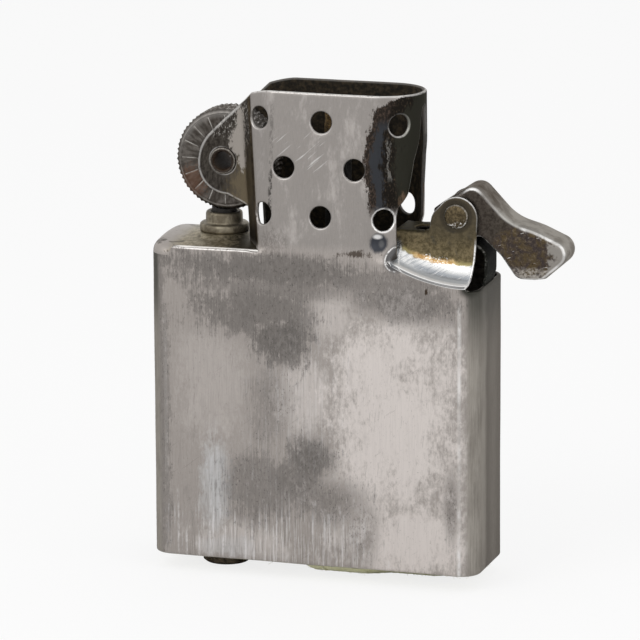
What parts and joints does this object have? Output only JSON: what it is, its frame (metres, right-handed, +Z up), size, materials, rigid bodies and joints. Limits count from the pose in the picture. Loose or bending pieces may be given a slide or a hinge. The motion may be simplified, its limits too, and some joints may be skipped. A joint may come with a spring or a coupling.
{
  "type": "windproof lighter",
  "caption": "Inner unit of a windproof lighter: sheet case with a perforated chimney, file wheel on a hollow rivet, sprung lid cam, flint feed, wick and lifting felt.",
  "frame": {"origin": "centre of the case in plan, on the plane that the felt and the flint screw's head stand on", "axes": "+X towards the cam end, +Y from the front to the back, +Z up along the chimney"},
  "size_m": [0.0437, 0.0114, 0.0516],
  "materials": {
    "case_steel": "worn, stained brushed sheet",
    "wheel_steel": "dark hardened steel with a cut rim",
    "rivet_steel": "worn plated steel",
    "cam_steel": "dark plated steel, worn through at the toe",
    "spring_steel": "drawn spring steel",
    "tube_brass": "tarnished brass",
    "tip_brass": "turned brass",
    "screw_brass": "blackened brass",
    "flint_alloy": "dull pressed alloy",
    "wick_cotton": "braided cotton, charred at the top",
    "wick_copper": "copper wire",
    "packing_cotton": "loose cotton",
    "felt_wool": "pressed felt"
  },
  "bodies": {
    "insert": {"insert_case": "case_steel", "wheel_rivet": "rivet_steel", "cam_rivet": "rivet_steel", "cam_spring": "spring_steel", "flint_tube": "tube_brass", "wick": "wick_cotton", "wick_wire": "wick_copper", "packing_ball_1": "packing_cotton", "packing_ball_2": "packing_cotton", "packing_ball_3": "packing_cotton", "packing_ball_4": "packing_cotton", "packing_ball_5": "packing_cotton", "packing_ball_6": "packing_cotton", "felt_pad": "felt_wool"},
    "wheel": {"flint_wheel": "wheel_steel"},
    "lid_cam": {"cam": "cam_steel"},
    "flint_feed": {"flint": "flint_alloy", "flint_spring_tip": "tip_brass"},
    "spring_carrier": {"flint_spring": "spring_steel"},
    "screw": {"flint_screw": "screw_brass"},
    "flap": {"felt_flap": "felt_wool"}
  },
  "joints": [
    {"name": "wheel_spin", "type": "hinge", "parent": "insert", "child": "wheel", "pos_m": [-0.0105, 0, 0.04367], "axis": [0, 1, 0], "continuous": true},
    {"name": "cam_swing", "type": "hinge", "parent": "insert", "child": "lid_cam", "pos_m": [0.01476, 0, 0.03927], "axis": [0, -1, 0], "range_deg": [0, 88], "deforming": ["cam_spring"]},
    {"name": "flint_push", "type": "slide", "parent": "insert", "child": "flint_feed", "axis": [0, 0, 1], "range_m": [-0.002, 0], "stiffness_N_per_m": 200, "deforming": ["flint_spring"]},
    {"name": "screw_travel", "type": "slide", "parent": "insert", "child": "spring_carrier", "axis": [0, 0, -1], "range_m": [0, 0.00508]},
    {"name": "screw_turn", "type": "hinge", "parent": "spring_carrier", "child": "screw", "pos_m": [-0.0112, 0, 0], "axis": [0, 0, -1], "range_deg": [0, 2880]},
    {"name": "flap_lift", "type": "hinge", "parent": "insert", "child": "flap", "pos_m": [0.001, 0, 0], "axis": [0, 1, 0], "range_deg": [0, 70]}
  ],
  "couplings": [
    {"joint": "screw_turn", "follows": "screw_travel", "rad_per_m": 9894.7}
  ]
}
